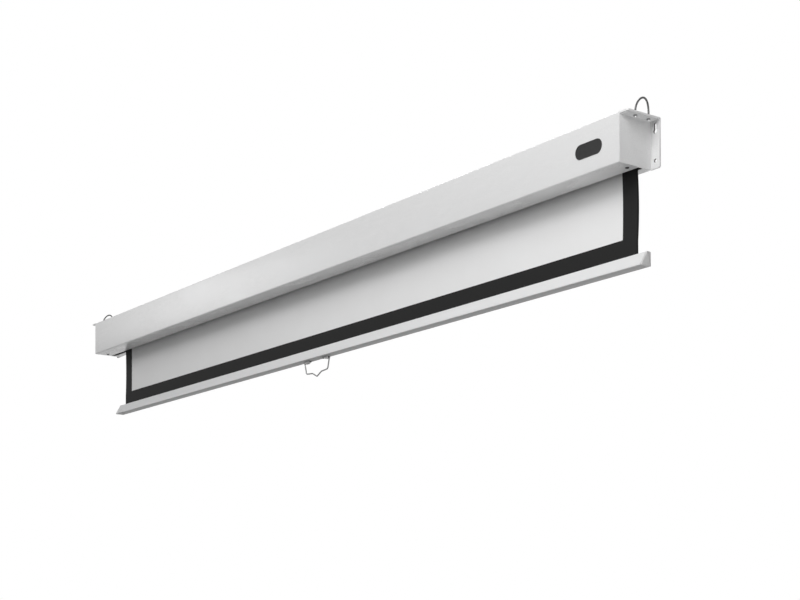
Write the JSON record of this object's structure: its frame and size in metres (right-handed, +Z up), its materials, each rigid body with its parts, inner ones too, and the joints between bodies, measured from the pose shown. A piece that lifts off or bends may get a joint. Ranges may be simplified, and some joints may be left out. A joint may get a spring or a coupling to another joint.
{
  "type": "pull down projector screen",
  "caption": "Spring roller projector screen in a long white case: black-bordered cloth, aluminium bottom bar, wire pull handle, wall flanges and ceiling eyes.",
  "frame": {"origin": "the middle of the case's rear face, on the wall plane", "axes": "+X along the case towards its idler end, +Y into the wall, +Z up"},
  "size_m": [2.4446, 0.0922, 0.3836],
  "materials": {
    "case_paint": "satin white powder coat",
    "zinc_wire": "bright zinc-plated wire",
    "zinc_nuts": "bright zinc-plated steel",
    "black_screws": "black oxide",
    "name_plate": "blank, satin black",
    "mechanism_steel": "plain zinc-plated steel",
    "spring_steel": "dark oiled spring steel",
    "inner_plastic": "dark moulded plastic",
    "roller_steel": "galvanised steel tube",
    "cloth_white": "matt white coated screen cloth",
    "cloth_black": "matt black printed border",
    "bar_aluminium": "satin silver extrusion",
    "bar_plastic": "light grey moulded plastic"
  },
  "bodies": {
    "case": {"case_shell": "case_paint", "end_bracket_left": "case_paint", "end_bracket_right": "case_paint", "case_screw_lower_left": "black_screws", "case_screw_lower_right": "black_screws", "case_screw_upper_left": "black_screws", "case_screw_upper_right": "black_screws", "hanging_eye_left": "zinc_wire", "hanging_eye_right": "zinc_wire", "eye_nut_top_front_left": "zinc_nuts", "eye_nut_top_front_right": "zinc_nuts", "eye_nut_top_rear_left": "zinc_nuts", "eye_nut_top_rear_right": "zinc_nuts", "eye_nut_under_front_left": "zinc_nuts", "eye_nut_under_front_right": "zinc_nuts", "eye_nut_under_rear_left": "zinc_nuts", "eye_nut_under_rear_right": "zinc_nuts", "name_plate": "name_plate", "spring_saddle": "mechanism_steel", "spring_shaft": "mechanism_steel", "ratchet_disc": "mechanism_steel", "torsion_spring": "spring_steel", "spring_plug": "inner_plastic", "idler_saddle": "mechanism_steel", "idler_bush": "inner_plastic"},
    "roller": {"roller_tube": "roller_steel", "spring_cap": "inner_plastic", "idler_cap": "inner_plastic", "idler_pin": "mechanism_steel", "cloth_roll": "cloth_white", "pawl_pin_a": "mechanism_steel", "pawl_pin_b": "mechanism_steel"},
    "upper_pawl": {"pawl_a": "mechanism_steel"},
    "lower_pawl": {"pawl_b": "mechanism_steel"},
    "bar": {"image_cloth": "cloth_white", "border_cloth": "cloth_black", "hem_rod": "inner_plastic", "bottom_bar": "bar_aluminium", "bar_cap_left": "bar_plastic", "bar_cap_right": "bar_plastic", "handle_clip_left": "bar_plastic", "handle_clip_right": "bar_plastic", "handle_screw_left": "black_screws", "handle_screw_right": "black_screws"},
    "handle": {"pull_handle": "zinc_wire"}
  },
  "joints": [
    {"name": "bar_slide", "type": "slide", "parent": "case", "child": "bar", "axis": [0, 0, -1], "range_m": [-0.1665, 1.2488], "deforming": ["image_cloth", "border_cloth"]},
    {"name": "roller_spin", "type": "hinge", "parent": "case", "child": "roller", "pos_m": [0, -0.05755, 0], "axis": [1, 0, 0], "range_deg": [-2701, 361]},
    {"name": "pawl_a_swing", "type": "hinge", "parent": "roller", "child": "upper_pawl", "pos_m": [-1.1815, -0.04505, 0.0155], "axis": [1, 0, 0], "range_deg": [0, 24]},
    {"name": "pawl_b_swing", "type": "hinge", "parent": "roller", "child": "lower_pawl", "pos_m": [-1.1815, -0.07005, -0.0155], "axis": [1, 0, 0], "range_deg": [0, 24]},
    {"name": "handle_swing", "type": "hinge", "parent": "bar", "child": "handle", "pos_m": [0.024, -0.0324, -0.2525], "axis": [1, 0, 0], "range_deg": [-85, 85]}
  ],
  "couplings": [
    {"joint": "roller_spin", "follows": "bar_slide", "rad_per_m": -37.736}
  ]
}
